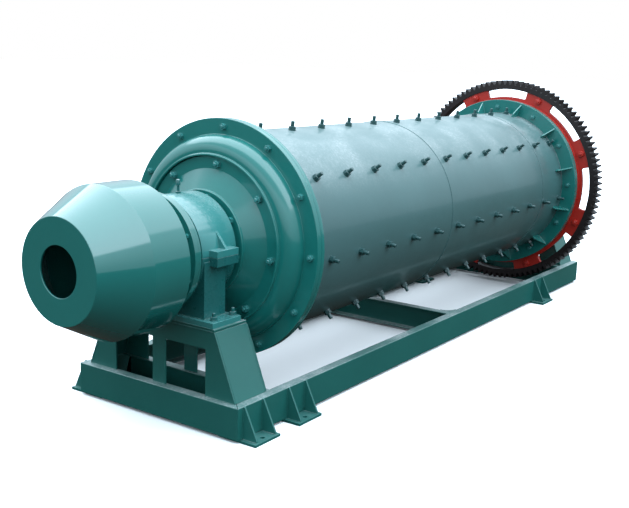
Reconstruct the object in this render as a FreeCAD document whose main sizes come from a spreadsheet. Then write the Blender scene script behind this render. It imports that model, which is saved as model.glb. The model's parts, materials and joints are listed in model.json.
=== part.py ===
import FreeCAD, Part
import math
import os
import re
import Sketcher

# Ball mill: a horizontal drum on two trunnions, turned by a ring gear at its discharge end.
# Row frame in millimetres: X along the mill towards the gear, Z up, ground at z = 0,
# origin on the ground under the middle of the overall length.
# "u" is the distance outwards from the outer plane of a head flange, at either end.

SIZES = [
    # drum
    ("shell_length", 4740),          # between the outer planes of the two head flanges
    ("shell_radius", 750),
    ("shell_wall", 16),
    ("first_course_length", 2110),
    ("third_course_length", 560),
    ("flange_thick", 40),
    ("front_flange_lip", 105),
    ("rear_flange_lip", 143),
    ("rib_count", 12),
    ("rib_reach", 150),
    ("rib_thick", 14),
    ("rib_edge", 30),
    ("rib_snipe", 12),               # cut corner that clears the flange's weld
    # heads
    ("crown_set", 8),
    ("crown_width", 142),
    ("crown_height", 128),
    ("crown_bend", 140),
    ("crown_land", 12),
    ("recess_depth", 53),
    ("head_wall", 42),
    ("head_bend", 95),
    # trunnions
    ("spigot_radius", 300),
    ("spigot_depth", 30),
    ("recess_play", 5),
    ("hub_flange_thick", 30),
    ("hub_flange_width", 85),
    ("hub_cone_rise", 80),
    ("boss_wall", 115),
    ("boss_thick", 20),
    ("journal_radius", 260),
    ("end_flange_lip", 140),
    ("end_flange_thick", 35),
    ("trunnion_bore", 175),
    # feed drum
    ("neck_flange_lip", 12),
    ("neck_flange_thick", 37),
    ("neck_step", 82),
    ("neck_length", 131),
    ("drum_radius", 495),
    ("drum_wall", 12),
    ("barrel_length", 305),
    ("cone_length", 312),
    ("drum_face_radius", 333),
    ("feed_hole_radius", 160),
    # discharge mouth
    ("mouth_wall", 55),
    ("mouth_flange_thick", 30),
    ("mouth_length", 85),
    # ring gear
    ("tooth_module", 20),
    ("gear_face_width", 135),
    ("gear_setback", 40),
    ("rim_backing", 50),
    ("web_play", 18),
    ("web_hub_set", 5),
    ("web_recess", 10),
    ("web_thick", 40),
    ("window_count", 8),
    ("window_set", 29),
    ("window_depth", 83),
    ("window_half_angle", 13.25),
    ("window_corner", 20),
    ("ground_play", 50),             # under the gear
    ("gear_side_play", 42),          # between the gear and the side beams
    ("gear_back_play", 65),          # between the gear and the rear inner beam
    # bearings
    ("journal_play", 0.3),
    ("housing_wall", 110),
    ("bearing_length", 338),
    ("boss_gap", 57),
    ("end_flange_gap", 40),
    ("ear_lip", 70),
    ("ear_inner_set", 58),
    ("ear_length", 214),
    ("cap_ear_height", 45),
    ("base_ear_height", 60),
    ("cap_rib_thick", 22),
    ("cap_rib_sink", 13),
    ("cap_rib_angle", 37),
    ("cap_rib_set", 10),
    ("saddle_depth", 38),
    ("column_side", 5),
    ("column_inner_set", 113),
    ("column_outer_set", 15),
    ("sole_side", 105),
    ("sole_lip", 40),
    ("sole_thick", 40),
    # stands
    ("stand_lip", 34),
    ("stand_plate", 14),
    ("stand_seat", 15),              # how far the stand's foot reaches on to the side beam
    ("stand_beam_set", 52),
    ("stand_top_side", 12),
    ("post_half", 60),
    ("window_side", 77),
    ("window_header", 126),
    ("top_plate_thick", 18),
    # base frame
    ("foot_plate", 18),
    ("channel_height", 220),
    ("channel_width", 78),
    ("channel_web", 9),
    ("channel_flange", 12),
    ("frame_lip", 48),
    ("haunch_leg", 110),
    ("haunch_tip", 14),
    ("haunch_thick", 11),
    # feet
    ("foot_length", 262),
    ("foot_out", 127),
    ("foot_in", 110),
    ("foot_rib_thick", 14),
    ("foot_rib_spacing", 195),
    ("foot_rib_top", 12),
    ("anchor_hole_radius", 17),
    ("anchor_edge", 50),
    ("first_foot_inset", 159),       # middle of the foot from the frame's front end
    ("second_foot_inset", 633),
    ("third_foot_inset", 1169),      # middle of the foot from the frame's rear end
]

WORKED_OUT = [
    # radii, from the shell outwards and inwards
    ("front_flange_radius", "shell_radius + front_flange_lip"),
    ("rear_flange_radius", "shell_radius + rear_flange_lip"),
    ("crown_radius", "shell_radius - crown_set"),
    ("recess_radius", "crown_radius - crown_width"),
    ("hub_flange_radius", "recess_radius - recess_play"),
    ("hub_cone_radius", "hub_flange_radius - hub_flange_width"),
    ("boss_radius", "journal_radius + boss_wall"),
    ("end_flange_radius", "journal_radius + end_flange_lip"),
    ("neck_flange_radius", "end_flange_radius + neck_flange_lip"),
    ("neck_radius", "neck_flange_radius - neck_step"),
    ("mouth_radius", "trunnion_bore + mouth_wall"),
    ("window_inner_radius", "rear_flange_radius + window_set"),
    ("rim_inner_radius", "window_inner_radius + window_depth"),
    ("corner_centre_radius", "window_inner_radius + window_corner"),
    ("corner_turn", "asin(window_corner / corner_centre_radius) / 1deg"),
    ("web_inner_radius", "crown_radius + web_play"),
    ("web_hub_radius", "rear_flange_radius - web_hub_set"),
    ("tooth_count", "round(2 * (rim_inner_radius + rim_backing) / tooth_module + 2.5)"),
    ("tip_radius", "tooth_module * (tooth_count / 2 + 1)"),
    # distances outwards from a head flange
    ("recess_floor", "crown_height - recess_depth"),
    ("hub_face", "recess_floor + hub_flange_thick"),
    ("hub_cone_end", "hub_face + hub_cone_rise"),
    ("boss_face", "hub_cone_end + boss_thick"),
    ("bearing_inner_face", "boss_face + boss_gap"),
    ("bearing_outer_face", "bearing_inner_face + bearing_length"),
    ("ear_inner_face", "bearing_inner_face + ear_inner_set"),
    ("ear_outer_face", "ear_inner_face + ear_length"),
    ("column_inner_face", "bearing_inner_face + column_inner_set"),
    ("column_outer_face", "bearing_outer_face - column_outer_set"),
    ("sole_inner_face", "column_inner_face - sole_lip"),
    ("stand_outer_face", "column_outer_face + stand_lip"),
    ("inner_beam_face", "gear_setback + gear_face_width + gear_back_play"),
    ("stand_inner_face", "inner_beam_face + stand_beam_set"),
    ("frame_overhang", "stand_outer_face + frame_lip"),
    ("journal_end", "bearing_outer_face + end_flange_gap"),
    ("trunnion_end", "journal_end + end_flange_thick"),
    ("neck_flange_end", "trunnion_end + neck_flange_thick"),
    ("drum_back", "neck_flange_end + neck_length"),
    ("cone_start", "drum_back + barrel_length"),
    ("feed_reach", "cone_start + cone_length"),
    ("mouth_flange_end", "trunnion_end + mouth_flange_thick"),
    ("discharge_reach", "trunnion_end + mouth_length"),
    # places along the row
    ("front_plane", "(feed_reach - shell_length - discharge_reach) / 2"),
    ("rear_plane", "front_plane + shell_length"),
    ("mill_centre", "(front_plane + rear_plane) / 2"),
    ("shell_start", "front_plane + flange_thick"),
    ("second_course_start", "shell_start + first_course_length"),
    ("third_course_start", "rear_plane - flange_thick - third_course_length"),
    ("second_course_length", "third_course_start - second_course_start"),
    ("frame_front", "front_plane - frame_overhang"),
    ("frame_rear", "rear_plane + frame_overhang"),
    ("frame_length", "frame_rear - frame_front"),
    ("first_foot", "frame_front + first_foot_inset"),
    ("second_foot", "frame_front + second_foot_inset"),
    ("third_foot", "frame_rear - third_foot_inset"),
    # heights, and widths of the bearing and stand
    ("axis_height", "tip_radius + ground_play"),
    ("frame_top", "foot_plate + channel_height"),
    ("bearing_bore", "journal_radius + journal_play"),
    ("bearing_radius", "journal_radius + housing_wall"),
    ("ear_reach", "bearing_radius + ear_lip"),
    ("column_half_width", "bearing_radius + column_side"),
    ("column_bottom", "-bearing_radius - saddle_depth"),
    ("sole_half_width", "column_half_width + sole_side"),
    ("sole_bottom", "axis_height + column_bottom - sole_thick"),
    ("stand_top", "sole_bottom - top_plate_thick"),
    ("stand_top_half", "sole_half_width + stand_top_side"),
    ("window_reach", "stand_top_half - window_side"),
    ("window_top", "stand_top - window_header"),
    # the side beams stand just clear of the gear
    ("gear_half_width", "sqrt(tip_radius ^ 2 - (axis_height - frame_top) ^ 2)"),
    ("frame_inner", "gear_half_width + gear_side_play"),
    ("frame_half_width", "frame_inner + channel_width"),
    ("stand_base_half", "frame_inner + stand_seat"),
    ("foot_reach", "frame_half_width + foot_out"),
    ("anchor_line", "foot_reach - anchor_edge"),
]

PAIR = [("left", ""), ("right", "-")]    # a piece and its mirror image across the mill

doc = FreeCAD.newDocument("ball_mill")
sheet = doc.addObject("Spreadsheet::Sheet", "sizes")
subparts = []


def fill_sheet():
    for row, (alias, number) in enumerate(SIZES + WORKED_OUT, start=1):
        sheet.set(f"A{row}", alias)
        is_formula = isinstance(number, str)
        sheet.set(f"B{row}", f"={number}" if is_formula else str(number))
        sheet.setAlias(f"B{row}", alias)
        doc.recompute()


def size(expression):
    """The number an expression of sheet aliases has now."""
    return float(sheet.evalExpression(str(expression)))


def bound(expression):
    """The same expression as another object writes it, with the sheet's name in front."""
    named = r"\b(?!(?:sin|cos|sqrt|asin)\b)([a-z]\w*)\b"
    return re.sub(named, r"sizes.\1", str(expression))


def place(thing, turn=0, along="0", across="0", up="0"):
    """Placement: a turn about Z and a base point bound to the sheet."""
    thing.Placement = FreeCAD.Placement(
        FreeCAD.Vector(), FreeCAD.Rotation(FreeCAD.Vector(0, 0, 1), turn)
    )
    thing.setExpression("Placement.Base.x", bound(along))
    thing.setExpression("Placement.Base.y", bound(across))
    thing.setExpression("Placement.Base.z", bound(up))


def at_end(thing, end, up="axis_height"):
    """Local +X points outwards: turned about at the front, as it is at the rear."""
    turn = 180 if end == "front" else 0
    place(thing, turn, f"{end}_plane", "0", up)


def new_body(label):
    body = doc.addObject("PartDesign::Body", label)
    body.Label = label
    subparts.append(body)
    return body


def new_pair(label, pieces):
    """Two like pieces that share a node."""
    pair = doc.addObject("Part::Compound", label)
    pair.Label = label
    pair.Links = pieces
    subparts.append(pair)


def new_sketch(body, name, role, offset="0"):
    """Sketch on one of the body's own planes, lifted off it by offset."""
    planes = [item for item in body.Origin.OriginFeatures if item.Role == role]
    sketch = body.newObject("Sketcher::SketchObject", name)
    sketch.AttachmentSupport = (planes[0], [""])
    sketch.MapMode = "FlatFace"
    sketch.setExpression("AttachmentOffset.Base.z", bound(offset))
    return sketch


def bind(sketch, kind, *where, expression):
    """One driving constraint, held to its expression."""
    index = sketch.addConstraint(Sketcher.Constraint(kind, *where, size(expression)))
    sketch.setExpression(f"Constraints[{index}]", bound(expression))


def arc_between(start, end, bend):
    """Arc of radius |bend| from start to end, turning left where bend is positive."""
    chord = end - start
    middle = (start + end) * 0.5
    left = FreeCAD.Vector(-chord.y, chord.x, 0).normalize()
    rise = math.sqrt(bend ** 2 - (chord.Length / 2) ** 2)
    centre = middle + left * math.copysign(rise, bend)
    first, last = (start, end) if bend > 0 else (end, start)
    angles = [math.atan2(point.y - centre.y, point.x - centre.x) for point in (first, last)]
    circle = Part.Circle(centre, FreeCAD.Vector(0, 0, 1), abs(bend))
    return Part.ArcOfCircle(circle, *angles)


def add_outline(sketch, corners):
    """Closed outline; a corner is (x, y), or (x, y, bend) where an arc runs to the next."""
    points = [FreeCAD.Vector(size(corner[0]), size(corner[1]), 0) for corner in corners]
    edges = []
    for corner, start, end in zip(corners, points, points[1:] + points[:1]):
        if len(corner) == 3:
            bend = size(corner[2])
            index = sketch.addGeometry(arc_between(start, end, bend))
            edges.append((index, 1, 2) if bend > 0 else (index, 2, 1))
        else:
            index = sketch.addGeometry(Part.LineSegment(start, end))
            edges.append((index, 1, 2))
    for (index, _, tail), (following, head, _) in zip(edges, edges[1:] + edges[:1]):
        sketch.addConstraint(Sketcher.Constraint("Coincident", index, tail, following, head))
    for (index, head, _), corner in zip(edges, corners):
        bind(sketch, "DistanceX", -1, 1, index, head, expression=corner[0])
        bind(sketch, "DistanceY", -1, 1, index, head, expression=corner[1])
        if len(corner) == 3:
            radius = corner[2].lstrip("-")
            bind(sketch, "Radius", index, expression=radius)


def add_circle(sketch, radius, across="0", up="0"):
    centre = FreeCAD.Vector(size(across), size(up), 0)
    circle = Part.Circle(centre, FreeCAD.Vector(0, 0, 1), size(radius))
    index = sketch.addGeometry(circle)
    bind(sketch, "DistanceX", -1, 1, index, 3, expression=across)
    bind(sketch, "DistanceY", -1, 1, index, 3, expression=up)
    bind(sketch, "Radius", index, expression=radius)


def box_corners(left, bottom, right, top):
    return [(left, bottom), (right, bottom), (right, top), (left, top)]


def pad(body, name, sketch, length):
    feature = body.newObject("PartDesign::Pad", name)
    feature.Profile = sketch
    feature.setExpression("Length", bound(length))
    doc.recompute()
    return feature


def pocket(body, name, sketch, length):
    """Cut along the sketch's own normal, and make sure that it took something away."""
    before = body.Shape.Volume
    feature = body.newObject("PartDesign::Pocket", name)
    feature.Profile = sketch
    feature.Reversed = True
    feature.setExpression("Length", bound(length))
    doc.recompute()
    if not body.Shape.Volume < before:
        raise RuntimeError(f"{body.Label}: {name} cuts nothing")
    return feature


def pattern_round(body, feature, count):
    """Repeat a feature right round the body's own X axis."""
    axes = [item for item in body.Origin.OriginFeatures if item.Role == "X_Axis"]
    pattern = body.newObject("PartDesign::PolarPattern", "Round")
    pattern.Originals = [feature]
    pattern.Axis = (axes[0], [""])
    pattern.Angle = 360
    pattern.setExpression("Occurrences", bound(count))
    body.Tip = pattern
    doc.recompute()


def turned(label, corners):
    """A piece turned about its X axis, from an outline of (along, radius) corners."""
    body = new_body(label)
    sketch = new_sketch(body, "Profile", "XY_Plane")
    add_outline(sketch, corners)
    feature = body.newObject("PartDesign::Revolution", "Turning")
    feature.Profile = sketch
    feature.ReferenceAxis = (sketch, ["H_Axis"])
    feature.Angle = 360
    doc.recompute()
    return body


# ---- drum ----

def make_shell_course(number, start, length):
    inside = "shell_radius - shell_wall"
    body = turned(f"shell_course_{number}", box_corners("0", inside, length, "shell_radius"))
    place(body, 0, start, "0", "axis_height")


def make_shell():
    make_shell_course(1, "shell_start", "first_course_length")
    make_shell_course(2, "second_course_start", "second_course_length")
    make_shell_course(3, "third_course_start", "third_course_length")


def make_front_shell_flange():
    profile = box_corners(
        "-2 * flange_thick", "shell_radius", "-flange_thick", "front_flange_radius"
    )
    body = turned("front_shell_flange", profile)
    at_end(body, "front")


def make_rear_shell_flange():
    """Flange ring with gussets that run back along the shell."""
    profile = box_corners(
        "-2 * flange_thick", "shell_radius", "-flange_thick", "rear_flange_radius"
    )
    body = turned("rear_shell_flange", profile)
    sketch = new_sketch(body, "Gusset", "XY_Plane", "-rib_thick / 2")
    face = "-2 * flange_thick"
    corners = [
        (f"{face} - rib_reach", "shell_radius"),
        (f"{face} - rib_snipe", "shell_radius"),
        (face, "shell_radius + rib_snipe"),
        (f"{face} + flange_thick / 2", "shell_radius + rib_snipe"),
        (f"{face} + flange_thick / 2", "rear_flange_radius - rib_edge / 2"),
        (face, "rear_flange_radius - rib_edge / 2"),
        (f"{face} - rib_reach", "shell_radius + rib_edge"),
    ]
    add_outline(sketch, corners)
    gusset = pad(body, "GussetPad", sketch, "rib_thick")
    pattern_round(body, gusset, "rib_count")
    at_end(body, "rear")
    body.Placement.Rotation = FreeCAD.Rotation(FreeCAD.Vector(1, 0, 0), 15)


def make_head(end):
    """Dished head: bolting flange, round crown, and a recess that takes the trunnion."""
    inner_face = "recess_floor - head_wall"
    corners = [
        ("-flange_thick", f"{end}_flange_radius"),
        ("-flange_thick", "crown_radius - head_wall", "-head_bend"),
        (inner_face, "recess_radius"),
        (inner_face, "spigot_radius"),
        ("recess_floor", "spigot_radius"),
        ("recess_floor", "recess_radius"),
        ("crown_height", "recess_radius"),
        ("crown_height", "recess_radius + crown_land", "crown_bend"),
        ("0", "crown_radius"),
        ("0", f"{end}_flange_radius"),
    ]
    body = turned(f"{end}_head", corners)
    at_end(body, end)


def make_trunnion(end):
    """Hub bolted into the head's recess, and the hollow journal that stands out from it."""
    hub = [
        ("recess_floor - spigot_depth", "trunnion_bore"),
        ("boss_face", "trunnion_bore"),
        ("boss_face", "boss_radius"),
        ("hub_cone_end", "boss_radius"),
        ("hub_face", "hub_cone_radius"),
        ("hub_face", "hub_flange_radius"),
        ("recess_floor", "hub_flange_radius"),
        ("recess_floor", "spigot_radius"),
        ("recess_floor - spigot_depth", "spigot_radius"),
    ]
    at_end(turned(f"{end}_hub", hub), end)
    journal = box_corners("boss_face", "trunnion_bore", "journal_end", "journal_radius")
    at_end(turned(f"{end}_journal", journal), end)


# ---- feed drum and discharge mouth ----

def make_feed_drum():
    """Back with its neck and flanges, the barrel and cone, and the flat face with the hole."""
    back = [
        ("journal_end", "trunnion_bore"),
        ("drum_back + drum_wall", "trunnion_bore"),
        ("drum_back + drum_wall", "drum_radius - drum_wall"),
        ("drum_back", "drum_radius - drum_wall"),
        ("drum_back", "neck_radius"),
        ("neck_flange_end", "neck_radius"),
        ("neck_flange_end", "neck_flange_radius"),
        ("trunnion_end", "neck_flange_radius"),
        ("trunnion_end", "end_flange_radius"),
        ("journal_end", "end_flange_radius"),
    ]
    barrel = [
        ("drum_back", "drum_radius - drum_wall"),
        ("cone_start", "drum_radius - drum_wall"),
        ("feed_reach - drum_wall", "drum_face_radius - drum_wall"),
        ("feed_reach", "drum_face_radius - drum_wall"),
        ("feed_reach", "drum_face_radius"),
        ("cone_start", "drum_radius"),
        ("drum_back", "drum_radius"),
    ]
    face = box_corners(
        "feed_reach - drum_wall", "feed_hole_radius", "feed_reach", "drum_face_radius - drum_wall"
    )
    pieces = {"feed_drum_back": back, "feed_drum_barrel": barrel, "feed_drum_face": face}
    for label, corners in pieces.items():
        at_end(turned(label, corners), "front")


def make_discharge_mouth():
    corners = [
        ("journal_end", "trunnion_bore"),
        ("discharge_reach", "trunnion_bore"),
        ("discharge_reach", "mouth_radius"),
        ("mouth_flange_end", "mouth_radius"),
        ("mouth_flange_end", "end_flange_radius"),
        ("journal_end", "end_flange_radius"),
    ]
    at_end(turned("discharge_mouth", corners), "rear")


# ---- ring gear ----

def make_gear_web():
    """Hub ring behind the head flange and a plate with windows that carries the rim."""
    web_start = "gear_setback + web_recess"
    web_end = f"{web_start} + web_thick"
    corners = [
        ("0", "web_inner_radius"),
        (web_end, "web_inner_radius"),
        (web_end, "rim_inner_radius"),
        (web_start, "rim_inner_radius"),
        (web_start, "web_hub_radius"),
        ("0", "web_hub_radius"),
    ]
    body = turned("gear_web", corners)
    sketch = new_sketch(body, "Window", "YZ_Plane", "gear_setback")
    floor_angle = "(window_half_angle - corner_turn)"
    floor = (f"window_inner_radius * sin{floor_angle}", f"window_inner_radius * cos{floor_angle}")
    side, out = "sin(window_half_angle)", "cos(window_half_angle)"
    low = "sqrt(corner_centre_radius ^ 2 - window_corner ^ 2)"
    high = "(rim_inner_radius + 1)"
    window = [
        (f"-{floor[0]}", floor[1], "-window_inner_radius"),
        (*floor, "window_corner"),
        (f"{low} * {side}", f"{low} * {out}"),
        (f"{high} * {side}", f"{high} * {out}", high),
        (f"-{high} * {side}", f"{high} * {out}"),
        (f"-{low} * {side}", f"{low} * {out}", "window_corner"),
    ]
    add_outline(sketch, window)
    cut = pocket(body, "WindowCut", sketch, "gear_face_width")
    pattern_round(body, cut, "window_count")
    at_end(body, "rear")


def make_gear_rim():
    """Toothed ring: straight-flanked teeth on the module, cut from one closed outline."""
    count = int(size("tooth_count"))
    module = size("tooth_module")
    pitch_radius = count * module / 2
    root_radius = pitch_radius - 1.25 * module
    tip_radius = pitch_radius + module
    half_tooth = math.pi / (2 * count)
    root_half = half_tooth * 1.5
    tip_half = half_tooth * 0.5
    shape_of_tooth = [
        (root_radius, -root_half),
        (tip_radius, -tip_half),
        (tip_radius, tip_half),
        (root_radius, root_half),
    ]
    points = []
    for tooth in range(count):
        middle = 2 * math.pi * tooth / count
        for radius, angle in shape_of_tooth:
            across = radius * math.cos(middle + angle)
            up = radius * math.sin(middle + angle)
            points.append(FreeCAD.Vector(0, across, up))
    width = size("gear_face_width")
    blank = Part.Face(Part.makePolygon(points + points[:1])).extrude(FreeCAD.Vector(width, 0, 0))
    axis = FreeCAD.Vector(1, 0, 0)
    bore = Part.makeCylinder(size("rim_inner_radius"), width, FreeCAD.Vector(), axis)
    rim = doc.addObject("Part::Feature", "gear_rim")
    rim.Label = "gear_rim"
    rim.Shape = blank.cut(bore)
    place(rim, 0, "rear_plane + gear_setback", "0", "axis_height")
    subparts.append(rim)


# ---- bearings ----

def make_bearing_cap(end):
    """Upper half housing with bolting ears and a stiffening rib over each ear."""
    body = new_body(f"{end}_bearing_cap")
    arch = new_sketch(body, "Arch", "YZ_Plane", "bearing_inner_face")
    outer = "bearing_radius"
    add_outline(arch, [(outer, "0", outer), ("0", outer, outer), (f"-{outer}", "0")])
    pad(body, "ArchPad", arch, "bearing_outer_face - bearing_inner_face")
    ears = new_sketch(body, "Ears", "YZ_Plane", "ear_inner_face")
    add_outline(ears, box_corners("-ear_reach", "0", "ear_reach", "cap_ear_height"))
    pad(body, "EarPad", ears, "ear_outer_face - ear_inner_face")
    middle = "(ear_inner_face + ear_outer_face) / 2"
    ribs = new_sketch(body, "Ribs", "YZ_Plane", f"{middle} - cap_rib_thick / 2")
    foot = "(ear_reach - cap_rib_set)"
    top_out = "(bearing_radius - cap_rib_sink) * cos(cap_rib_angle)"
    top_up = "(bearing_radius - cap_rib_sink) * sin(cap_rib_angle)"
    rib = [
        (f"-{foot}", "cap_ear_height"),
        (f"-{foot}", "cap_ear_height / 2"),
        (foot, "cap_ear_height / 2"),
        (foot, "cap_ear_height"),
        (top_out, top_up),
        (f"-{top_out}", top_up),
    ]
    add_outline(ribs, rib)
    pad(body, "RibPad", ribs, "cap_rib_thick")
    bore = new_sketch(body, "Bore", "YZ_Plane", "bearing_inner_face")
    add_circle(bore, "bearing_bore")
    pocket(body, "BoreCut", bore, "bearing_outer_face")
    at_end(body, end)


def make_bearing_base(end):
    """Lower half housing, its ears, and the column down to the sole plate."""
    body = new_body(f"{end}_bearing_base")
    cradle = new_sketch(body, "Cradle", "YZ_Plane", "bearing_inner_face")
    outer = "bearing_radius"
    add_outline(cradle, [(f"-{outer}", "0", outer), ("0", f"-{outer}", outer), (outer, "0")])
    pad(body, "CradlePad", cradle, "bearing_outer_face - bearing_inner_face")
    ears = new_sketch(body, "Ears", "YZ_Plane", "ear_inner_face")
    add_outline(ears, box_corners("-ear_reach", "-base_ear_height", "ear_reach", "0"))
    pad(body, "EarPad", ears, "ear_outer_face - ear_inner_face")
    column = new_sketch(body, "Column", "YZ_Plane", "column_inner_face")
    half = "column_half_width"
    add_outline(column, box_corners(f"-{half}", "column_bottom", half, "-base_ear_height / 2"))
    pad(body, "ColumnPad", column, "column_outer_face - column_inner_face")
    bore = new_sketch(body, "Bore", "YZ_Plane", "bearing_inner_face")
    add_circle(bore, "bearing_bore")
    pocket(body, "BoreCut", bore, "bearing_outer_face")
    at_end(body, end)


# ---- plates ----

def make_box(label, end, inner, outer, half_width, bottom, thick):
    """Flat plate across the mill, from u = inner to u = outer."""
    body = new_body(label)
    sketch = new_sketch(body, "Plan", "XY_Plane", bottom)
    add_outline(sketch, box_corners(inner, f"-{half_width}", outer, half_width))
    pad(body, "Plate", sketch, thick)
    at_end(body, end, "0")


def make_stand_wall(label, end, start):
    """Upright plate, wider at its foot, with two windows open down to the frame."""
    body = new_body(label)
    wall = new_sketch(body, "Wall", "YZ_Plane", start)
    corners = [
        ("-stand_base_half", "frame_top"),
        ("stand_base_half", "frame_top"),
        ("stand_top_half", "stand_top"),
        ("-stand_top_half", "stand_top"),
    ]
    add_outline(wall, corners)
    pad(body, "WallPad", wall, "stand_plate")
    windows = new_sketch(body, "Windows", "YZ_Plane", start)
    add_outline(windows, box_corners("-window_reach", "frame_top", "-post_half", "window_top"))
    add_outline(windows, box_corners("post_half", "frame_top", "window_reach", "window_top"))
    pocket(body, "WindowCut", windows, "stand_plate")
    at_end(body, end, "0")


def make_stand_side(name, end, sign):
    """Leaning side plate between the two upright plates."""
    body = doc.addObject("PartDesign::Body", name)
    sketch = new_sketch(body, "Slope", "YZ_Plane", "stand_inner_face + stand_plate")
    corners = [
        (f"{sign}(stand_base_half - stand_plate)", "frame_top"),
        (f"{sign}stand_base_half", "frame_top"),
        (f"{sign}stand_top_half", "stand_top"),
        (f"{sign}(stand_top_half - stand_plate)", "stand_top"),
    ]
    add_outline(sketch, corners)
    pad(body, "Side", sketch, "stand_outer_face - stand_inner_face - 2 * stand_plate")
    at_end(body, end, "0")
    return body


def make_stand(end):
    make_stand_wall(f"{end}_stand_outer_wall", end, "stand_outer_face - stand_plate")
    make_stand_wall(f"{end}_stand_inner_wall", end, "stand_inner_face")
    sides = [make_stand_side(f"{end}_{name}", end, sign) for name, sign in PAIR]
    new_pair(f"{end}_stand_sides", sides)
    make_box(
        f"{end}_stand_top", end, "stand_inner_face", "stand_outer_face", "stand_top_half",
        "stand_top", "top_plate_thick",
    )
    make_box(
        f"{end}_sole_plate", end, "sole_inner_face", "stand_outer_face", "sole_half_width",
        "sole_bottom", "sole_thick",
    )


# ---- base frame ----

def make_channel(label, length, mitre, turn, along, across):
    """Channel laid along its X axis, web at y = 0, flanges towards +Y, ends mitred or square."""
    body = new_body(label)
    plan = new_sketch(body, "Plan", "XY_Plane")
    corners = [
        (f"-({length}) / 2", "0"),
        (f"({length}) / 2", "0"),
        (f"({length}) / 2 - {mitre}", "channel_width"),
        (f"-({length}) / 2 + {mitre}", "channel_width"),
    ]
    add_outline(plan, corners)
    pad(body, "Bar", plan, "channel_height")
    hollow = new_sketch(body, "Hollow", "YZ_Plane", f"-({length}) / 2")
    inside = box_corners(
        "channel_web", "channel_flange", "channel_width + 1", "channel_height - channel_flange"
    )
    add_outline(hollow, inside)
    pocket(body, "HollowCut", hollow, length)
    place(body, turn, along, across, "foot_plate")


def make_frame():
    width = "2 * frame_half_width"
    inner_width = "2 * frame_inner"
    mitre = "channel_width"
    make_channel("side_beam_near", "frame_length", mitre, 0, "mill_centre", "-frame_half_width")
    make_channel("side_beam_far", "frame_length", mitre, 180, "mill_centre", "frame_half_width")
    make_channel("front_beam", width, mitre, -90, "frame_front", "0")
    make_channel("rear_beam", width, mitre, 90, "frame_rear", "0")
    make_channel("inner_beam_front", inner_width, "0", 90, "front_plane - inner_beam_face", "0")
    make_channel("inner_beam_rear", inner_width, "0", -90, "rear_plane + inner_beam_face", "0")
    middle = "mill_centre + channel_width / 2"
    make_channel("middle_cross_beam", inner_width, "0", 90, middle, "0")
    haunches = [make_haunch(f"haunch_{name}", sign) for name, sign in PAIR]
    new_pair("middle_haunches", haunches)


def make_haunch(name, sign):
    """Corner plate with a hollow round edge, level with the top of the frame."""
    body = doc.addObject("PartDesign::Body", name)
    sketch = new_sketch(body, "Plan", "XY_Plane")
    bend = "(haunch_leg - haunch_tip)" if sign else "-(haunch_leg - haunch_tip)"
    corners = [
        ("0", "0"),
        ("haunch_leg", "0"),
        ("haunch_leg", f"{sign}haunch_tip", bend),
        ("haunch_tip", f"{sign}haunch_leg"),
        ("0", f"{sign}haunch_leg"),
    ]
    add_outline(sketch, corners)
    pad(body, "Plate", sketch, "haunch_thick")
    across = "frame_inner" if sign else "-frame_inner"
    place(body, 0, "mill_centre + channel_width / 2", across, "frame_top - haunch_thick")
    return body


def make_foot(label, middle, side):
    """Anchor plate under the side beam, with two ribs up the beam's web."""
    body = new_body(label)
    plan = new_sketch(body, "Plan", "XY_Plane")
    half = "foot_length / 2"
    add_outline(plan, box_corners(f"-{half}", "frame_inner - foot_in", half, "foot_reach"))
    pad(body, "Plate", plan, "foot_plate")
    slope = [
        ("frame_half_width", "foot_plate / 2"),
        ("foot_reach - foot_rib_top", "foot_plate / 2"),
        ("foot_reach - foot_rib_top", "foot_plate + foot_rib_top"),
        ("frame_half_width + foot_rib_top", "frame_top"),
        ("frame_half_width", "frame_top"),
    ]
    for name, sign in (("First", "-"), ("Second", "")):
        start = f"{sign}foot_rib_spacing / 2 - foot_rib_thick / 2"
        rib = new_sketch(body, f"{name}Rib", "YZ_Plane", start)
        add_outline(rib, slope)
        pad(body, f"{name}RibPad", rib, "foot_rib_thick")
    hole = new_sketch(body, "AnchorHole", "XY_Plane")
    add_circle(hole, "anchor_hole_radius", "0", "anchor_line")
    pocket(body, "AnchorCut", hole, "foot_plate")
    turn = 0 if side > 0 else 180
    place(body, turn, middle)


def make_feet():
    for name in ("first", "second", "third"):
        make_foot(f"{name}_foot_near", f"{name}_foot", -1)
        make_foot(f"{name}_foot_far", f"{name}_foot", 1)


def check_model():
    """Stop before anything is written if an object failed or a piece has no sound solid."""
    for item in doc.Objects:
        if {"Invalid", "Error"} & set(item.State):
            raise RuntimeError(f"{item.Label} is {item.State}")
    for piece in subparts:
        if piece.Shape.isNull() or not piece.Shape.isValid() or not piece.Shape.Solids:
            raise RuntimeError(f"{piece.Label} has no valid solid")


def write_parts():
    os.makedirs("parts", exist_ok=True)
    for piece in subparts:
        piece.Shape.exportStep(f"parts/{piece.Label}.step")


fill_sheet()
make_frame()
make_feet()
make_feed_drum()
make_discharge_mouth()
for end in ("front", "rear"):
    make_stand(end)
    make_bearing_base(end)
    make_bearing_cap(end)
    make_trunnion(end)
    make_head(end)
make_front_shell_flange()
make_rear_shell_flange()
make_shell()
make_gear_web()
make_gear_rim()
doc.recompute()
check_model()
write_parts()
print(f"{len(subparts)} sub-parts written")
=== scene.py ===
import bpy
import json
import numpy as np
from math import cos, pi, radians, sin
from mathutils import Matrix, Vector


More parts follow.
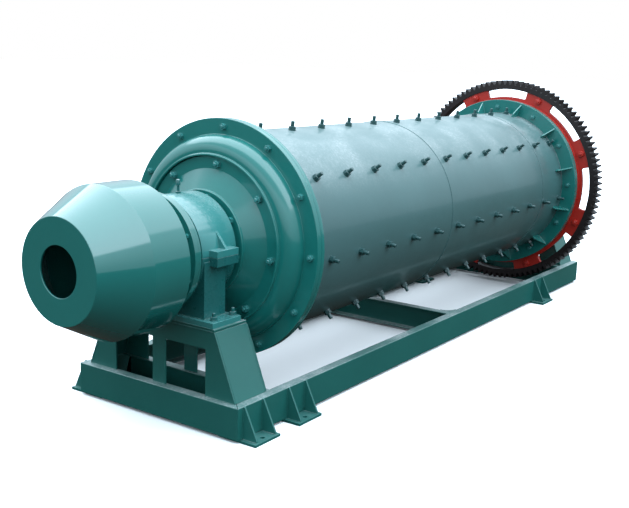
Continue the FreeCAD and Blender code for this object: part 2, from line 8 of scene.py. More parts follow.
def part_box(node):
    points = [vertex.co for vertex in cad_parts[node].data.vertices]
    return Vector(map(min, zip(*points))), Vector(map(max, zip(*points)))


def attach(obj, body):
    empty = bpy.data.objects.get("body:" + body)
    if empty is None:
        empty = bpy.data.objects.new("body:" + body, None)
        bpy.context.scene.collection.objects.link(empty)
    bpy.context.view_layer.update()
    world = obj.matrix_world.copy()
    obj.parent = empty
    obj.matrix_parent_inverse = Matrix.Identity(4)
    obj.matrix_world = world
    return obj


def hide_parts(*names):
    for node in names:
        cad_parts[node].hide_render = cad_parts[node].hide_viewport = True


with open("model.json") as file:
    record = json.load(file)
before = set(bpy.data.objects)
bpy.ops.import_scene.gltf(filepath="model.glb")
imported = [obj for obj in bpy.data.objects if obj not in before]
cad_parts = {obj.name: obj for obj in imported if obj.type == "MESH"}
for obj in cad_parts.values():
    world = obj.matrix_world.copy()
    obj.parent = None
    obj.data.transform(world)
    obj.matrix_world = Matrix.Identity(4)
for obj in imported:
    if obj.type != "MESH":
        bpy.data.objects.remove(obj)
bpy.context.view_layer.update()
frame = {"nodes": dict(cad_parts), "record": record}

scene = bpy.context.scene

cameraSetup = {
    "place": (-7.139, -4.387, 2.443),    # metres, in the mill's own frame
    "yaw": 34.82,                        # degrees round from +X
    "dip": 11.66,                        # degrees below the horizon
    "roll": 1.75,
    "lens": 54.8,
}


def addCamera(setup):
    yaw, dip, roll = (radians(setup[key]) for key in ("yaw", "dip", "roll"))
    look = Vector((cos(yaw) * cos(dip), sin(yaw) * cos(dip), -sin(dip)))
    level = Vector((sin(yaw), -cos(yaw), 0))
    above = level.cross(look)
    right = level * cos(roll) + above * sin(roll)
    up = above * cos(roll) - level * sin(roll)
    data = bpy.data.cameras.new("camera")
    data.lens = setup["lens"]
    data.clip_end = 400
    camera = bpy.data.objects.new("camera", data)
    scene.collection.objects.link(camera)
    turn = Matrix((right, up, -look)).transposed().to_4x4()
    camera.matrix_world = Matrix.Translation(setup["place"]) @ turn
    scene.camera = camera


addCamera(cameraSetup)
print("camera set")

# where things are, read from the frame: u is the distance outwards from a head flange
shellLow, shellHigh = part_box("shell_course_1")
flangeLow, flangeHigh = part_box("front_shell_flange")
flangeThick = flangeHigh[0] - flangeLow[0]
axisHeight = (shellLow[2] + shellHigh[2]) / 2
shellRadius = (shellHigh[2] - shellLow[2]) / 2
headPlane = {"front": flangeLow[0] - flangeThick, "rear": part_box("rear_shell_flange")[1][0] + flangeThick}
outward = {"front": -1, "rear": 1}


def atEnd(end, u):
    # plane of the head's flange + distance outwards
    return headPlane[end] + outward[end] * u


def meshObject(name, verts, faces, sharpAngle=35):
    # a smooth-shaded mesh whose edges sharper than the angle stay crisp
    mesh = bpy.data.meshes.new(name)
    mesh.from_pydata(verts.reshape(-1, 3).tolist(), [], faces)
    mesh.validate()
    mesh.polygons.foreach_set("use_smooth", np.ones(len(mesh.polygons), dtype=bool))
    mesh.set_sharp_from_angle(angle=radians(sharpAngle))
    piece = bpy.data.objects.new(name, mesh)
    scene.collection.objects.link(piece)
    return piece


def tubeFaces(rows, columns):
    # quads between neighbouring rows of one closed-round grid, and a flat cap at each end
    row, column = np.meshgrid(np.arange(rows - 1), np.arange(columns), indexing="ij")
    after = (column + 1) % columns
    quads = np.stack([
        row * columns + column, row * columns + after,
        (row + 1) * columns + after, (row + 1) * columns + column,
    ], -1).reshape(-1, 4)
    caps = np.stack([np.arange(columns)[::-1], (rows - 1) * columns + np.arange(columns)])
    return quads, caps


def ringFaces(rows, columns):
    # quads of a grid that closes on itself both ways
    row, column = np.meshgrid(np.arange(rows), np.arange(columns), indexing="ij")
    nextRow, after = (row + 1) % rows, (column + 1) % columns
    return np.stack([
        row * columns + column, row * columns + after,
        nextRow * columns + after, nextRow * columns + column,
    ], -1).reshape(-1, 4)


def copyFaces(quads, caps, vertsEach, copies):
    # the same faces for every copy, with point numbers raised by one copy's count each time
    step = (np.arange(copies) * vertsEach)[:, None, None]
    allQuads = (quads[None] + step).reshape(-1, quads.shape[1])
    allCaps = (caps[None] + step).reshape(-1, caps.shape[1])
    return allQuads.tolist() + allCaps.tolist()


def fastenerRows(size):
    # height and radius up the fastener, and 1 where the section is a hexagon
    washer, nut, stud = size["washer"], size["nut"], size["stud"]
    nutTop = washer[1] + nut[1]
    chamfer = nut[0] * 0.08
    studTop = nutTop + stud[1]
    rows = [
        (-0.004, washer[0], 0), (washer[1], washer[0], 0),
        (washer[1], nut[0], 1), (nutTop - chamfer, nut[0], 1), (nutTop, nut[0] * 0.93, 0),
        (nutTop, stud[0], 0), (studTop - stud[0] * 0.25, stud[0], 0), (studTop, stud[0] * 0.75, 0),
    ]
    return np.array(rows)


def fasteners(name, size, places, outs, sides):
    # point = place + height * out + radius * (cos(a) * side + sin(a) * out x side), the radius
    # of a hexagon being its half width divided by cos 30 at every second of 12 points
    rows = fastenerRows(size)
    points = np.arange(12)
    angle = points * pi / 6
    corner = 1 + rows[:, 2:3] * (1 / cos(pi / 6) - 1) * (points % 2 == 0)
    radius = rows[:, 1:2] * corner
    places, outs, sides = (np.atleast_2d(np.asarray(item, float)) for item in (places, outs, sides))
    outs, sides = np.broadcast_to(outs, places.shape), np.broadcast_to(sides, places.shape)
    thirds = np.cross(outs, sides)
    verts = (
        places[:, None, None, :]
        + rows[None, :, 0, None, None] * outs[:, None, None, :]
        + (radius * np.cos(angle))[None, :, :, None] * sides[:, None, None, :]
        + (radius * np.sin(angle))[None, :, :, None] * thirds[:, None, None, :]
    )
    quads, caps = tubeFaces(len(rows), len(points))
    return meshObject(name, verts, copyFaces(quads, caps, len(rows) * len(points), len(places)), 25)


def roundPlaces(x, radius, degreesRound):
    # points on a circle about the mill's axis: 0 degrees is the near side, 90 the top
    angle = np.radians(degreesRound)
    outs = np.stack([np.zeros_like(angle), -np.cos(angle), np.sin(angle)], -1)
    return outs * radius + np.array([0, 0, axisHeight]) + np.array([1, 0, 0]) * np.reshape(x, (-1, 1)), outs


def ringBead(x, radius, size, ripples=260):
    # a torus about the mill's axis whose tube swells and shrinks along its length
    steps, sides = 720, 8
    around = np.linspace(0, 2 * pi, steps, endpoint=False)[:, None]
    across = np.linspace(0, 2 * pi, sides, endpoint=False)[None, :]
    tube = size * (1 + 0.10 * np.sin(ripples * around))
    reach = radius + tube * np.sin(across)
    verts = np.stack([
        x + tube * np.cos(across), -reach * np.cos(around), axisHeight + reach * np.sin(around),
    ], -1)
    return verts.reshape(-1, 3), ringFaces(steps, sides)


def lineBeads(starts, ends, size):
    # straight tubes with a rippled radius, drawn in to a point at both ends
    starts, ends = np.asarray(starts, float), np.asarray(ends, float)
    steps, sides = 60, 6
    along = np.linspace(0, 1, steps)
    across = np.arange(sides) * 2 * pi / sides
    way = ends - starts
    length = np.linalg.norm(way, axis=1, keepdims=True)
    way = way / length
    helper = np.where(np.abs(way[:, 2:3]) > 0.9, [[1.0, 0, 0]], [[0, 0, 1.0]])
    side = np.cross(way, helper)
    side /= np.linalg.norm(side, axis=1, keepdims=True)
    third = np.cross(way, side)
    taper = np.clip(np.minimum(along, 1 - along) * 30, 0.15, 1)
    tube = size * taper[None, :] * (1 + 0.12 * np.sin(along[None, :] * length * 700))
    centre = starts[:, None, :] + (ends - starts)[:, None, :] * along[None, :, None]
    verts = (
        centre[:, :, None, :]
        + (tube[:, :, None] * np.cos(across))[..., None] * side[:, None, None, :]
        + (tube[:, :, None] * np.sin(across))[..., None] * third[:, None, None, :]
    )
    quads, caps = tubeFaces(steps, sides)
    return verts, copyFaces(quads, caps, steps * sides, len(starts))


def turnedPiece(name, outline, place, columns=32):
    # an outline of (height, radius) points turned about a vertical line through place
    outline = np.array(outline)
    angle = np.linspace(0, 2 * pi, columns, endpoint=False)
    verts = np.stack([
        place[0] + outline[:, 1:2] * np.cos(angle),
        place[1] + outline[:, 1:2] * np.sin(angle),
        place[2] + outline[:, 0:1] + 0 * angle,
    ], -1)
    quads, caps = tubeFaces(len(outline), columns)
    return meshObject(name, verts, quads.tolist() + caps.tolist())


def roundedOutline(corners, steps):
    # each corner of a closed outline becomes an arc tangent to both its sides: the arc starts
    # rounding * tan(half the turn) before the corner, and its normal turns evenly along it
    points = np.array([corner[:2] for corner in corners], float)
    roundings = np.array([corner[2] if len(corner) > 2 else 0.003 for corner in corners])
    after = np.roll(points, -1, axis=0)
    if np.sum(points[:, 0] * after[:, 1] - after[:, 0] * points[:, 1]) < 0:
        points, roundings = points[::-1], roundings[::-1]
    way = np.roll(points, -1, axis=0) - points
    way /= np.linalg.norm(way, axis=1, keepdims=True)
    before = np.roll(way, 1, axis=0)
    turn = np.arctan2(before[:, 0] * way[:, 1] - before[:, 1] * way[:, 0], np.sum(before * way, axis=1))
    start = points - before * (roundings * np.tan(np.abs(turn) / 2))[:, None]
    heading = np.arctan2(-before[:, 0], before[:, 1])
    angle = heading[:, None] + turn[:, None] * np.linspace(0, 1, steps + 1)[None, :]
    normals = np.stack([np.cos(angle), np.sin(angle)], -1)
    reach = (np.sign(turn) * roundings)[:, None, None]
    outline = start[:, None, :] - reach * normals[:, :1, :] + reach * normals
    return outline.reshape(-1, 2), normals.reshape(-1, 2)


def turnedShell(name, end, corners, steps=4, columns=288):
    # an outline of (distance out from the head flange, radius) turned about the mill's axis
    outline, across = roundedOutline(corners, steps)
    angle = np.linspace(0, 2 * pi, columns, endpoint=False)
    down, up = -np.cos(angle)[None, :], np.sin(angle)[None, :]
    side = outward[end]
    verts = np.stack([
        atEnd(end, outline[:, :1]) + 0 * angle, outline[:, 1:] * down, axisHeight + outline[:, 1:] * up,
    ], -1)
    normals = np.stack([side * across[:, :1] + 0 * angle, across[:, 1:] * down, across[:, 1:] * up], -1)
    quads = ringFaces(len(outline), columns)[:, ::side]
    piece = meshObject(name, verts, quads.tolist(), 180)
    piece.data.normals_split_custom_set_from_vertices(normals.reshape(-1, 3).tolist())
    return piece


headBoxes = {end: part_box(f"{end}_head") for end in ("front", "rear")}
headRadius = {end: (high[2] - low[2]) / 2 for end, (low, high) in headBoxes.items()}
dish = [    # the dish between the flange's two corners, round its inside and its crown
    (-0.040, 0.700), (0.0394, 0.6814, 0.095), (0.033, 0.600), (0.033, 0.300), (0.075, 0.300),
    (0.075, 0.600, 0.002), (0.128, 0.600, 0.003), (0.128, 0.615, 0.007), (0.113, 0.617, 0.004),
    (0.113, 0.736, 0.108), (0.0, 0.742, 0.003),
]


def headOutline(end):
    # the shared dish closed by the two corners of this end's flange
    return [(-flangeThick, headRadius[end]), *dish, (0, headRadius[end], 0.005)]


turnedParts = {    # corners as (distance out from the head flange, radius, rounding) in metres
    "hub": [
        (0.045, 0.175), (0.205, 0.175), (0.205, 0.375, 0.007), (0.185, 0.375, 0.004), (0.105, 0.510, 0.004),
        (0.105, 0.595, 0.004), (0.075, 0.595), (0.075, 0.300), (0.045, 0.300),
    ],
    "journal": [(0.205, 0.175), (0.640, 0.175), (0.640, 0.260), (0.205, 0.260)],
}
feedDrum = [
    (0.640, 0.175), (0.855, 0.175), (0.855, 0.483), (1.148, 0.483), (1.448, 0.321), (1.448, 0.160),
    (1.460, 0.160, 0.004), (1.460, 0.333, 0.006), (1.148, 0.495, 0.012), (0.843, 0.495, 0.006),
    (0.843, 0.330, 0.006), (0.712, 0.330, 0.006), (0.712, 0.412, 0.004), (0.675, 0.412, 0.003),
    (0.675, 0.400, 0.003), (0.640, 0.400, 0.004),
]
dischargeMouth = [
    (0.640, 0.175), (0.760, 0.175), (0.760, 0.230, 0.005), (0.705, 0.230, 0.008), (0.705, 0.400, 0.005),
    (0.640, 0.400, 0.005),
]


def addTurnedParts():
    made = []
    for end in ("front", "rear"):
        outlines = {"head": headOutline(end), **turnedParts}
        for kind, corners in outlines.items():
            piece = turnedShell(f"{end}_{kind}_turned", end, corners, 12 if kind == "head" else 4)
            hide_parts(f"{end}_{kind}")
            made.append(piece)
    mouth = turnedShell("discharge_mouth_turned", "rear", dischargeMouth)
    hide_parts("discharge_mouth")
    drum = turnedShell("feed_drum_turned", "front", feedDrum)
    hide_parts("feed_drum_face", "feed_drum_barrel", "feed_drum_back")
    return made + [mouth], drum


headPieces, drumPiece = addTurnedParts()
print("turned pieces made")

nutSizes = {    # (radius or half width, height) in metres
    "liner": {"washer": (0.029, 0.007), "nut": (0.023, 0.024), "stud": (0.0145, 0.040)},
    "head": {"washer": (0.024, 0.004), "nut": (0.0205, 0.019), "stud": (0.0115, 0.008)},
    "hub": {"washer": (0.027, 0.005), "nut": (0.0235, 0.024), "stud": (0.0135, 0.014)},
    "small": {"washer": (0.018, 0.003), "nut": (0.0155, 0.014), "stud": (0.009, 0.006)},
    "pad": {"washer": (0.034, 0.005), "nut": (0.029, 0.024), "stud": (0.016, 0.010)},
    "sole": {"washer": (0.024, 0.004), "nut": (0.020, 0.020), "stud": (0.012, 0.026)},
}


# one ring of equal fasteners about the mill's axis
def ringBolts(name, size, x, facing, radius, count, first):
    turns = first + np.arange(count) * 360 / count
    places, outs = roundPlaces(np.full(count, x), radius, turns)
    return fasteners(name, nutSizes[size], places, [[facing, 0, 0]], outs)


linerBolts = {"rows": 8, "first": -7, "perRow": 12, "fromHead": 0.3225, "step": 0.38775}


def addLinerBolts(setup):
    # rows spread evenly round the shell, each a straight line of bolts at one step
    turns = np.repeat(setup["first"] + np.arange(setup["rows"]) * 360 / setup["rows"], setup["perRow"])
    steps = np.tile(np.arange(setup["perRow"]), setup["rows"])
    x = headPlane["front"] + setup["fromHead"] + setup["step"] * steps
    places, outs = roundPlaces(x, shellRadius, turns)
    return fasteners("liner_bolts", nutSizes["liner"], places, outs, [[1, 0, 0]])


millBolts = [addLinerBolts(linerBolts)]
rearBoltCircle = 0.815
boltRings = {    # size, end, u, facing outwards or not, radius, count, first angle
    "front_head_bolts": ("head", "front", 0, 1, 0.797, 12, -2),
    "front_head_nuts": ("head", "front", -2 * flangeThick, -1, 0.797, 12, -2),
    "front_hub_bolts": ("hub", "front", 0.105, 1, 0.550, 8, -7),
    "front_boss_bolts": ("head", "front", 0.205, 1, 0.330, 8, 35),
    "front_neck_bolts": ("small", "front", 0.712, 1, 0.376, 8, 25),
    "rear_head_nuts": ("head", "rear", -2 * flangeThick, -1, rearBoltCircle, 12, 3),
    "rear_hub_bolts": ("hub", "rear", 0.105, 1, 0.550, 8, -7),
    "rear_boss_bolts": ("head", "rear", 0.205, 1, 0.330, 8, 35),
    "rear_mouth_bolts": ("small", "rear", 0.705, 1, 0.330, 8, 25),
    "web_hub_bolts": ("head", "rear", 0.090, 1, rearBoltCircle, 12, 3),
    "web_pad_bolts": ("pad", "rear", 0.050, -1, 0.958, 8, 22.5),
    "web_pad_nuts": ("pad", "rear", 0.090, 1, 0.958, 8, 22.5),
}
redBolts = []
for name, (size, end, u, facing, radius, count, first) in boltRings.items():
    ring = ringBolts(name, size, atEnd(end, u), facing * outward[end], radius, count, first)
    (redBolts if name.startswith("web") else millBolts).append(ring)
print("mill fasteners made")

soleBolts = {"inset": 0.048, "near": 0.363, "far": 0.555}


def soleStuds(end):
    # four studs through the bearing's foot, standing on the sole plate
    low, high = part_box(f"{end}_sole_plate")
    alongs = [atEnd(end, soleBolts["near"]), atEnd(end, soleBolts["far"])]
    acrosses = [low[1] + soleBolts["inset"], high[1] - soleBolts["inset"]]
    places = [(x, y, high[2]) for x in alongs for y in acrosses]
    return fasteners(f"{end}_sole_studs", nutSizes["sole"], places, [[0, 0, 1]], [[1, 0, 0]])


oilCup = [    # (height, radius) up the cup
    (-0.004, 0.018), (0.012, 0.018), (0.014, 0.009), (0.050, 0.009), (0.054, 0.015),
    (0.084, 0.016), (0.091, 0.012), (0.094, 0.005),
]


def addOilCup(end):
    low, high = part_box(f"{end}_bearing_cap")
    return turnedPiece(f"{end}_oil_cup", oilCup, ((low[0] + high[0]) / 2, 0, high[2]))


rootPieces = [soleStuds(end) for end in ("front", "rear")]
cups = [addOilCup(end) for end in ("front", "rear")]

weldSizes = {"shell": 0.0055, "line": 0.004}    # radius of the bead in metres
weldedFlange = headPlane["rear"] - 2 * flangeThick


def addShellWelds():
    # a rippled ring on the shell at both seams and where each flange sits
    seams = [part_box(f"shell_course_{number}")[0][0] for number in (2, 3)]
    verts, quads, count = [], [], 0
    for x in [*seams, flangeHigh[0], weldedFlange]:
        ringVerts, ringQuads = ringBead(x, shellRadius, weldSizes["shell"])
        verts.append(ringVerts)
        quads.append(ringQuads + count)
        count += len(ringVerts)
    return meshObject("shell_welds", np.concatenate(verts), np.concatenate(quads).tolist(), 60)


gusset = {"first": 15, "count": 12, "halfThick": 0.007, "reach": 0.148, "start": 0.012}


def gussetLines():
    # both faces of each gusset, along its foot on the shell
    turns = np.radians(gusset["first"] + np.arange(gusset["count"]) * 360 / gusset["count"])
    out = np.stack([0 * turns, -np.cos(turns), np.sin(turns)], -1)
    along = np.stack([0 * turns, np.sin(turns), np.cos(turns)], -1)
    starts, ends = [], []
    for side in (-1, 1):
        base = out * (shellRadius + 0.001) + along * gusset["halfThick"] * side + [0, 0, axisHeight]
        starts.append(base + [weldedFlange - gusset["reach"], 0, 0])
        ends.append(base + [weldedFlange - gusset["start"], 0, 0])
    return np.concatenate(starts), np.concatenate(ends)


stand = {
    "windowEdge": 0.415, "postHalf": 0.060, "columnHalf": 0.375, "columnNear": 0.375, "columnFar": 0.585,
}
footRib = {"offset": 0.0975, "halfThick": 0.007, "bottom": 0.018, "top": 0.226, "edge": 0.012}


def standLines(end):
    # straight beads round one stand's walls, its bearing's column and its sole plate
    wall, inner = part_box(f"{end}_stand_outer_wall"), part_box(f"{end}_stand_inner_wall")
    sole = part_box(f"{end}_sole_plate")
    low, high, wide = wall[0][2], wall[1][2], wall[1][1]
    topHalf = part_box(f"{end}_stand_top")[1][1]
    lines = []
    for x in (wall[0][0], inner[1][0]) if end == "front" else (wall[1][0], inner[0][0]):
        for sign in (-1, 1):
            lines.append(((x, sign * wide, low), (x, sign * topHalf, high)))
            lines.append(((x, sign * stand["windowEdge"], low), (x, sign * wide, low)))
        lines.append(((x, -stand["postHalf"], low), (x, stand["postHalf"], low)))
        lines.append(((x, -topHalf, high), (x, topHalf, high)))
    columnFaces = (atEnd(end, stand["columnFar"]), atEnd(end, stand["columnNear"]))
    half = stand["columnHalf"]
    rings = [(columnFaces, (-half, half), sole[1][2]),
             ((sole[0][0], sole[1][0]), (sole[0][1], sole[1][1]), sole[0][2])]
    for faces, sides, z in rings:
        for x in faces:
            lines.append(((x, sides[0], z), (x, sides[1], z)))
        for y in sides:
            lines.append(((faces[0], y, z), (faces[1], y, z)))
    return lines


def footLines(name, side):
    # both faces of each rib, along its foot plate and up the beam's web
    low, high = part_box(f"{name}_foot_{side}")
    sign = -1 if side == "near" else 1
    wallY = -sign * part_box("side_beam_near")[0][1]
    reach = sign * (max(abs(low[1]), abs(high[1])) - footRib["edge"])
    bottom = footRib["bottom"]
    lines = []
    for rib in (-footRib["offset"], footRib["offset"]):
        for face in (-footRib["halfThick"], footRib["halfThick"]):
            x = (low[0] + high[0]) / 2 + rib + face
            lines.append(((x, wallY, bottom), (x, reach, bottom)))
            lines.append(((x, wallY, bottom + footRib["edge"]), (x, wallY, footRib["top"])))
    return lines


def frameLines():
    # every straight bead on the frame, as one set of starts and one of ends
    lines = [line for end in ("front", "rear") for line in standLines(end)]
    for name in ("first", "second", "third"):
        for side in ("near", "far"):
            lines += footLines(name, side)
    both = np.array(lines)
    return both[:, 0], both[:, 1]


def addLineWelds(name, lines, size):
    # one mesh of straight beads
    verts, faces = lineBeads(*lines, size)
    return meshObject(name, verts, faces, 60)


millWelds = [addShellWelds(), addLineWelds("gusset_welds", gussetLines(), weldSizes["line"])]
rootWelds = [addLineWelds("frame_welds", frameLines(), weldSizes["line"])]
print("welds made")

# small helpers that add a node, link or set its inputs, and give back its result
def socketIn(group, name, kind, value):
    socket = group.interface.new_socket(name=name, in_out="INPUT", socket_type=kind)
    socket.default_value = value
    return socket


def addNode(tree, kind, **values):
    node = tree.nodes.new(kind)
    for key, value in values.items():
        setattr(node, key, value)
    return node


def mixColours(tree, blend, factor, first, second):
    mix = addNode(tree, "ShaderNodeMix", data_type="RGBA", blend_type=blend, clamp_factor=True)
    for socket, value in ((mix.inputs[0], factor), (mix.inputs[6], first), (mix.inputs[7], second)):
        if isinstance(value, bpy.types.NodeSocket):
            tree.links.new(value, socket)
        else:
            socket.default_value = value
    return mix.outputs[2]


def ramp(tree, value, fromLow, fromHigh, toLow, toHigh):
    node = addNode(tree, "ShaderNodeMapRange", interpolation_type="SMOOTHSTEP")
    tree.links.new(value, node.inputs[0])
    for index, number in enumerate((fromLow, fromHigh, toLow, toHigh), start=1):
        if isinstance(number, bpy.types.NodeSocket):
            tree.links.new(number, node.inputs[index])
        else:
            node.inputs[index].default_value = number
    return node.outputs[0]


def noise(tree, place, scale, detail=2.0, roughness=0.5):
    node = addNode(tree, "ShaderNodeTexNoise")
    node.inputs["Scale"].default_value = scale
    node.inputs["Detail"].default_value = detail
    node.inputs["Roughness"].default_value = roughness
    tree.links.new(place, node.inputs["Vector"])
    return node.outputs[0]


def combine(tree, kind, first, second):
    node = addNode(tree, "ShaderNodeMath", operation=kind)
    for socket, value in zip(node.inputs, (first, second)):
        if isinstance(value, bpy.types.NodeSocket):
            tree.links.new(value, socket)
        else:
            socket.default_value = value
    return node.outputs[0]


grain = {    # noise scales of the enamel, as features per metre
    "broad": 1.3, "fine": 17.0, "specks": 55.0, "cloud": 2.6, "peel": 160.0, "waves": 2.2, "cast": 70.0,
}


def paintGroup():
    # a brushed and sprayed enamel: tone drifts over a metre, orange peel, plate waves, and a light grey mix
    # on upward faces that is partly dust and partly painted top light
    group = bpy.data.node_groups.new("enamelSkin", "ShaderNodeTree")
    face = group.interface
    for name, kind in (("Colour", "NodeSocketColor"), ("Roughness", "NodeSocketFloat"),
                       ("Height", "NodeSocketFloat")):
        face.new_socket(name=name, in_out="OUTPUT", socket_type=kind)
    socketIn(group, "Paint", "NodeSocketColor", (0.03, 0.19, 0.19, 1))
    socketIn(group, "Dust and top light colour", "NodeSocketColor", (0.36, 0.40, 0.40, 1))
    for name, value in (("Gloss", 0.2), ("Drift", 0.15), ("Dust and top light amount", 0.0), ("Peel", 0.3),
                        ("Waves", 0.0), ("Cast grain", 0.0)):
        socketIn(group, name, "NodeSocketFloat", value)
    source = addNode(group, "NodeGroupInput")
    result = addNode(group, "NodeGroupOutput")
    place = addNode(group, "ShaderNodeTexCoord").outputs["Object"]
    broad = noise(group, place, grain["broad"], 3.0)
    fine = noise(group, place, grain["fine"], 4.0, 0.6)
    drift = combine(group, "ADD", combine(group, "MULTIPLY", broad, 1.4),
                    combine(group, "MULTIPLY", fine, 0.6))
    shade = combine(group, "ADD", 1.0, combine(group, "MULTIPLY", combine(group, "SUBTRACT", drift, 1.0),
                                               source.outputs["Drift"]))
    toned = addNode(group, "ShaderNodeVectorMath", operation="SCALE")
    group.links.new(source.outputs["Paint"], toned.inputs[0])
    group.links.new(shade, toned.inputs["Scale"])
    specks = ramp(group, noise(group, place, grain["specks"], 5.0, 0.7), 0.42, 0.72, 0.35, 1.0)
    cloud = ramp(group, noise(group, place, grain["cloud"], 4.0, 0.6), 0.35, 0.7, 0.25, 1.0)
    upward = addNode(group, "ShaderNodeSeparateXYZ")
    group.links.new(addNode(group, "ShaderNodeNewGeometry").outputs["Normal"], upward.inputs[0])
    # upward faces are lightened towards the dust colour: real dust specks plus painted top light standing
    # in for the sky's light on tops
    onTop = ramp(group, upward.outputs["Z"], 0.35, 0.95, 0.0, 1.0)
    dustAndTopLight = combine(group, "MULTIPLY", combine(group, "MULTIPLY", onTop, source.outputs["Dust and top light amount"]),
                   combine(group, "MULTIPLY", specks, cloud))
    colour = mixColours(group, "MIX", dustAndTopLight, toned.outputs[0], source.outputs["Dust and top light colour"])
    group.links.new(colour, result.inputs["Colour"])
    rough = combine(group, "ADD", source.outputs["Gloss"],
                    combine(group, "MULTIPLY", combine(group, "SUBTRACT", fine, 0.5), 0.10))
    rough = combine(group, "ADD", rough, combine(group, "MULTIPLY", dustAndTopLight, 0.45))
    group.links.new(rough, result.inputs["Roughness"])
    peel = combine(group, "MULTIPLY", noise(group, place, grain["peel"], 2.0), source.outputs["Peel"])
    waves = combine(group, "MULTIPLY", noise(group, place, grain["waves"], 1.5), source.outputs["Waves"])
    cast = combine(group, "MULTIPLY", noise(group, place, grain["cast"], 4.0, 0.7),
                   source.outputs["Cast grain"])
    height = combine(group, "ADD", combine(group, "ADD", peel, waves), cast)
    group.links.new(height, result.inputs["Height"])
    return group


enamelSkin = paintGroup()

# the dust amount sets both the dust and the painted top light on upward faces
paints = {    # base colour, roughness, coat, and how strong each effect of the skin is
    "drumEnamel": {"paint": (0.010, 0.140, 0.124), "gloss": 0.12, "coat": 1.0, "drift": 0.12, "peel": 0.08},
    "headEnamel": {"paint": (0.010, 0.160, 0.142), "gloss": 0.22, "coat": 0.6, "drift": 0.16, "peel": 0.15},
    "shellEnamel": {"paint": (0.056, 0.130, 0.130), "gloss": 0.30, "coat": 0.25, "drift": 0.20,
                    "peel": 0.15, "waves": 16.0, "dustAndTopLight": 1.0},
    # the bearing's paint made lighter as a painted lit copy, for the cap and the sole plate that catch the
    # light
    "capEnamelLit": {"paint": (0.030, 0.195, 0.185), "gloss": 0.22, "coat": 0.6, "drift": 0.18,
                  "peel": 0.1, "cast": 0.9, "dustAndTopLight": 0.5},
    # the same bearing paint made darker as a painted shaded copy, for the base column that sits in the
    # shade of the ears
    "castEnamelShaded": {"paint": (0.010, 0.105, 0.100), "gloss": 0.28, "coat": 0.3, "drift": 0.18,
                   "peel": 0.1, "cast": 0.9, "dustAndTopLight": 1.0},
    "frameEnamel": {"paint": (0.012, 0.107, 0.092), "gloss": 0.34, "coat": 0.1, "drift": 0.22,
                    "peel": 0.15, "dustAndTopLight": 1.4},
    # the frame's paint with little dust and painted top light, so the foot plates stay dark as in the shade
    # of their ribs
    "footEnamel": {"paint": (0.013, 0.115, 0.100), "gloss": 0.36, "coat": 0.1, "drift": 0.22,
                   "peel": 0.15, "dustAndTopLight": 0.3},
    "webEnamel": {"paint": (0.420, 0.020, 0.011), "gloss": 0.38, "coat": 0.1, "drift": 0.25, "peel": 0.2},
    "nutEnamel": {"paint": (0.028, 0.185, 0.175), "gloss": 0.25, "coat": 0.5, "drift": 0.2, "peel": 0.1},
    "boltEnamel": {"paint": (0.018, 0.070, 0.070), "gloss": 0.30, "coat": 0.3, "drift": 0.2, "peel": 0.1},
    "gearSteel": {"paint": (0.014, 0.009, 0.009), "gloss": 0.45, "coat": 0.0, "drift": 0.5,
                  "peel": 0.3, "cast": 0.4, "metal": 0.2},
}


def makePaint(name, values):
    material = bpy.data.materials.new(name)
    material.use_nodes = True
    tree = material.node_tree
    shader = tree.nodes["Principled BSDF"]
    skin = addNode(tree, "ShaderNodeGroup", node_tree=enamelSkin)
    skin.inputs["Paint"].default_value = (*values["paint"], 1)
    for socket, key in (("Gloss", "gloss"), ("Drift", "drift"), ("Peel", "peel"), ("Waves", "waves"),
                        ("Cast grain", "cast"), ("Dust and top light amount", "dustAndTopLight")):
        skin.inputs[socket].default_value = values.get(key, 0)
    bump = addNode(tree, "ShaderNodeBump")
    bump.inputs["Strength"].default_value = 0.5
    bump.inputs["Distance"].default_value = 0.001
    tree.links.new(skin.outputs["Colour"], shader.inputs["Base Color"])
    tree.links.new(skin.outputs["Roughness"], shader.inputs["Roughness"])
    tree.links.new(skin.outputs["Height"], bump.inputs["Height"])
    tree.links.new(bump.outputs["Normal"], shader.inputs["Normal"])
    shader.inputs["Metallic"].default_value = values.get("metal", 0)
    shader.inputs["Coat Weight"].default_value = values["coat"]
    shader.inputs["Coat Roughness"].default_value = 0.06
    return material


finish = {name: makePaint(name, values) for name, values in paints.items()}
print("materials made")


def finishOf(node):
    if node == "gear_web":
        return "webEnamel"
    if node == "gear_rim":
        return "gearSteel"
    if node.startswith("feed_drum"):
        return "drumEnamel"
    if node.startswith("shell_course"):
        return "shellEnamel"
    # the cap and sole plate take the painted lit copy of the bearing paint, the base the painted shaded
    # copy
    if "bearing_cap" in node or "sole" in node:
        return "capEnamelLit"
    if "bearing_base" in node:
        return "castEnamelShaded"
    if "foot" in node:
        return "footEnamel"
    if node in frame["record"]["behaviour"]["bodies"]["mill"]:
        return "headEnamel"
    return "frameEnamel"


def paintPiece(piece, name):
    piece.data.materials.clear()
    piece.data.materials.append(finish[name])


for node, item in frame["nodes"].items():
    if not item.material_slots:
        item.data.materials.append(None)
    for slot in item.material_slots:
        slot.material = finish[finishOf(node)]

softEdges = {"bearing": 0.012, "foot": 0.0025, "beam": 0.006, "shell_course": 0.0, "gear_rim": 0.002}


def softenEdges(node, item):
    width = next((value for key, value in softEdges.items() if key in node), 0.004)
    if not width:
        return
    weld = item.modifiers.new("weld", "WELD")
    weld.merge_threshold = 0.00002
    flat = item.modifiers.new("flat", "DECIMATE")
    flat.decimate_type = "DISSOLVE"
    flat.angle_limit = radians(0.4)
    bevel = item.modifiers.new("edge", "BEVEL")
    bevel.width = width
    bevel.segments = 3
    bevel.limit_method = "ANGLE"
    bevel.angle_limit = radians(18)
    bevel.harden_normals = True


for node, item in frame["nodes"].items():
    softenEdges(node, item)
print("edges rounded")

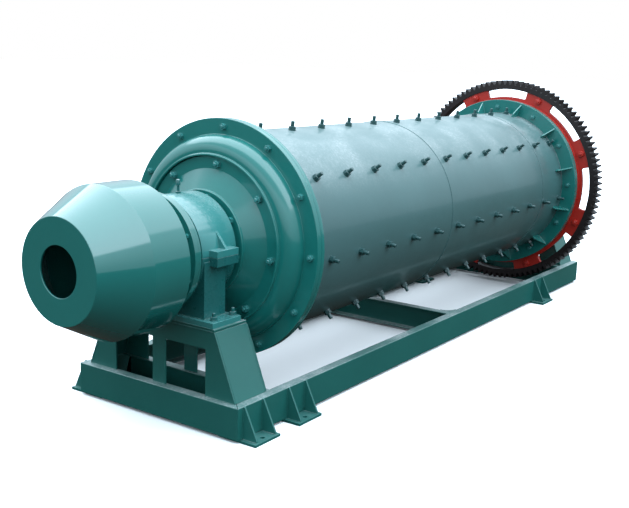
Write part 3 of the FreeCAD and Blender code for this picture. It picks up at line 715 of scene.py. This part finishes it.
for piece in headPieces:
    paintPiece(piece, "headEnamel")
paintPiece(drumPiece, "drumEnamel")
for piece in millBolts:
    paintPiece(piece, "boltEnamel" if piece.name == "liner_bolts" else "nutEnamel")
for piece in redBolts:
    paintPiece(piece, "webEnamel")
# the sole studs and oil cups take the painted shaded copy of the bearing paint
for piece in rootPieces + cups:
    paintPiece(piece, "castEnamelShaded")
paintPiece(millWelds[0], "shellEnamel")
paintPiece(millWelds[1], "headEnamel")
paintPiece(rootWelds[0], "frameEnamel")
for piece in millBolts + redBolts + millWelds + headPieces + [drumPiece]:
    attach(piece, "mill")
for piece in rootPieces + cups + rootWelds:
    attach(piece, "root")

studio = {    # levels multiply the sky's colour; Across and Edge hold where a change begins and ends
    "sky": (0.87, 1.02, 1.15), "skyLevel": 4.1, "skyline": 0.46, "skylineBlend": 0.05,
    "hazeLevel": 1.4, "hazeFoot": 0.55, "hazeAcross": (-0.9, 0.2), "hazeSides": (1.32, 0.86),
    "aside": 0.58, "asideAcross": (0.40, 0.72),
    "screenLevel": 1.1, "screenLean": 0.6, "screenEdge": (-0.10, 0.08),
    "floorShown": 0.95, "floorBounce": (0.036, 0.028, 0.022), "floorHalf": 150, "floorLevel": -0.001,
}


def addDome(setup):
    # a bright even dome over a duller band near the horizon; the camera sees plain white
    world = bpy.data.worlds.new("studio")
    scene.world = world
    world.use_nodes = True
    tree = world.node_tree
    shader = tree.nodes["Background"]
    direction = addNode(tree, "ShaderNodeSeparateXYZ")
    tree.links.new(addNode(tree, "ShaderNodeTexCoord").outputs["Generated"], direction.inputs[0])
    edge = setup["skyline"]
    haze = setup["hazeLevel"]
    low = ramp(tree, direction.outputs["Z"], 0.0, edge, setup["hazeFoot"] * haze, haze)
    low = combine(tree, "MULTIPLY", low,
                  ramp(tree, direction.outputs["X"], *setup["hazeAcross"], *setup["hazeSides"]))
    aside = combine(tree, "ABSOLUTE", direction.outputs["X"], 0.0)
    high = ramp(tree, aside, *setup["asideAcross"], setup["skyLevel"], setup["skyLevel"] * setup["aside"])
    tilted = combine(tree, "ADD", direction.outputs["X"],
                     combine(tree, "MULTIPLY", direction.outputs["Z"], setup["screenLean"]))
    high = ramp(tree, tilted, *setup["screenEdge"], setup["screenLevel"], high)
    level = ramp(tree, direction.outputs["Z"], edge, edge + setup["skylineBlend"], low, high)
    tint = addNode(tree, "ShaderNodeVectorMath", operation="SCALE")
    tint.inputs[0].default_value = setup["sky"]
    tree.links.new(level, tint.inputs["Scale"])
    seen = addNode(tree, "ShaderNodeLightPath").outputs["Is Camera Ray"]
    tree.links.new(mixColours(tree, "MIX", seen, tint.outputs[0], (1, 1, 1, 1)), shader.inputs["Color"])


def addFloor(setup):
    half = setup["floorHalf"]
    corners = [(-half, -half), (half, -half), (half, half), (-half, half)]
    verts = np.array([(*corner, setup["floorLevel"]) for corner in corners])
    floor = meshObject("studio_floor", verts, [[0, 1, 2, 3]])
    material = bpy.data.materials.new("paleFloor")
    material.use_nodes = True
    tree = material.node_tree
    shader = tree.nodes["Principled BSDF"]
    shown = setup["floorShown"]
    seen = addNode(tree, "ShaderNodeLightPath").outputs["Is Camera Ray"]
    tree.links.new(mixColours(tree, "MIX", seen, (*setup["floorBounce"], 1), (shown, shown, shown, 1)),
                   shader.inputs["Base Color"])
    shader.inputs["Roughness"].default_value = 1.0
    shader.inputs["Specular IOR Level"].default_value = 0.0
    floor.data.materials.append(material)


addDome(studio)
addFloor(studio)
scene.view_settings.view_transform = "Standard"
print("studio set")
